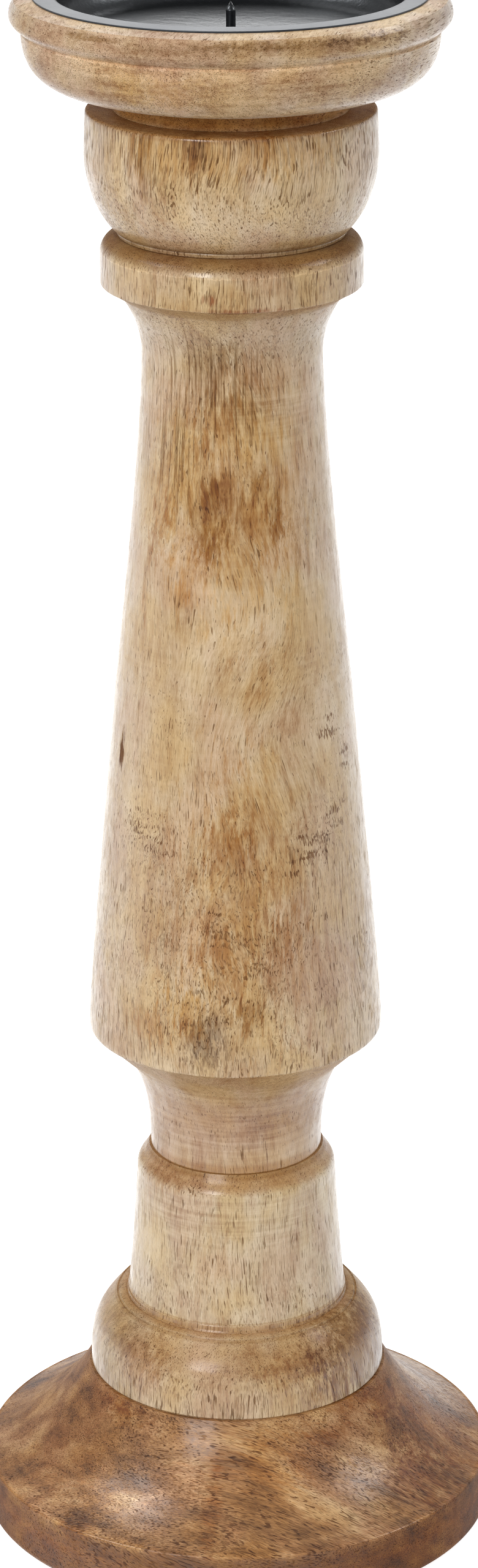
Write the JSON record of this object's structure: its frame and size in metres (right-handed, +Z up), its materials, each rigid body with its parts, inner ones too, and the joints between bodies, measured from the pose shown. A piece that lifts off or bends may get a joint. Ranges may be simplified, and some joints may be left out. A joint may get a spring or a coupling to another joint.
{
  "type": "candle holder",
  "caption": "Tall turned hardwood pillar candle holder with a flared base, tapered shaft and dish, and a lift-out black metal plate with a spike for a pillar candle.",
  "frame": {"origin": "centre of the surface that the holder stands on, under its felt pads", "axes": "+Z up along the turning axis; the picture looks along +Y, with +X to its right"},
  "size_m": [0.1264, 0.1264, 0.382],
  "materials": {
    "pale_wood": "satin clear lacquer on open-pored pale hardwood",
    "dark_wood": "satin clear lacquer on darker face-grain hardwood",
    "dowel_wood": "bare sanded hardwood",
    "black_enamel": "semi-gloss black enamel",
    "zinc_steel": "zinc-plated",
    "brown_felt": "pressed felt"
  },
  "bodies": {
    "holder": {"base_disc": "dark_wood", "pedestal": "pale_wood", "shaft": "pale_wood", "capital": "pale_wood", "dish": "pale_wood", "lower_dowel": "dowel_wood", "upper_dowel": "dowel_wood", "base_screw": "zinc_steel", "screw_washer": "zinc_steel", "felt_pad_1": "brown_felt", "felt_pad_2": "brown_felt", "felt_pad_3": "brown_felt", "felt_pad_4": "brown_felt"},
    "insert": {"candle_plate": "black_enamel", "spike": "black_enamel"}
  },
  "joints": [
    {"name": "plate_lift", "type": "slide", "parent": "holder", "child": "insert", "axis": [0, 0, 1], "range_m": [0, 0.045]}
  ]
}
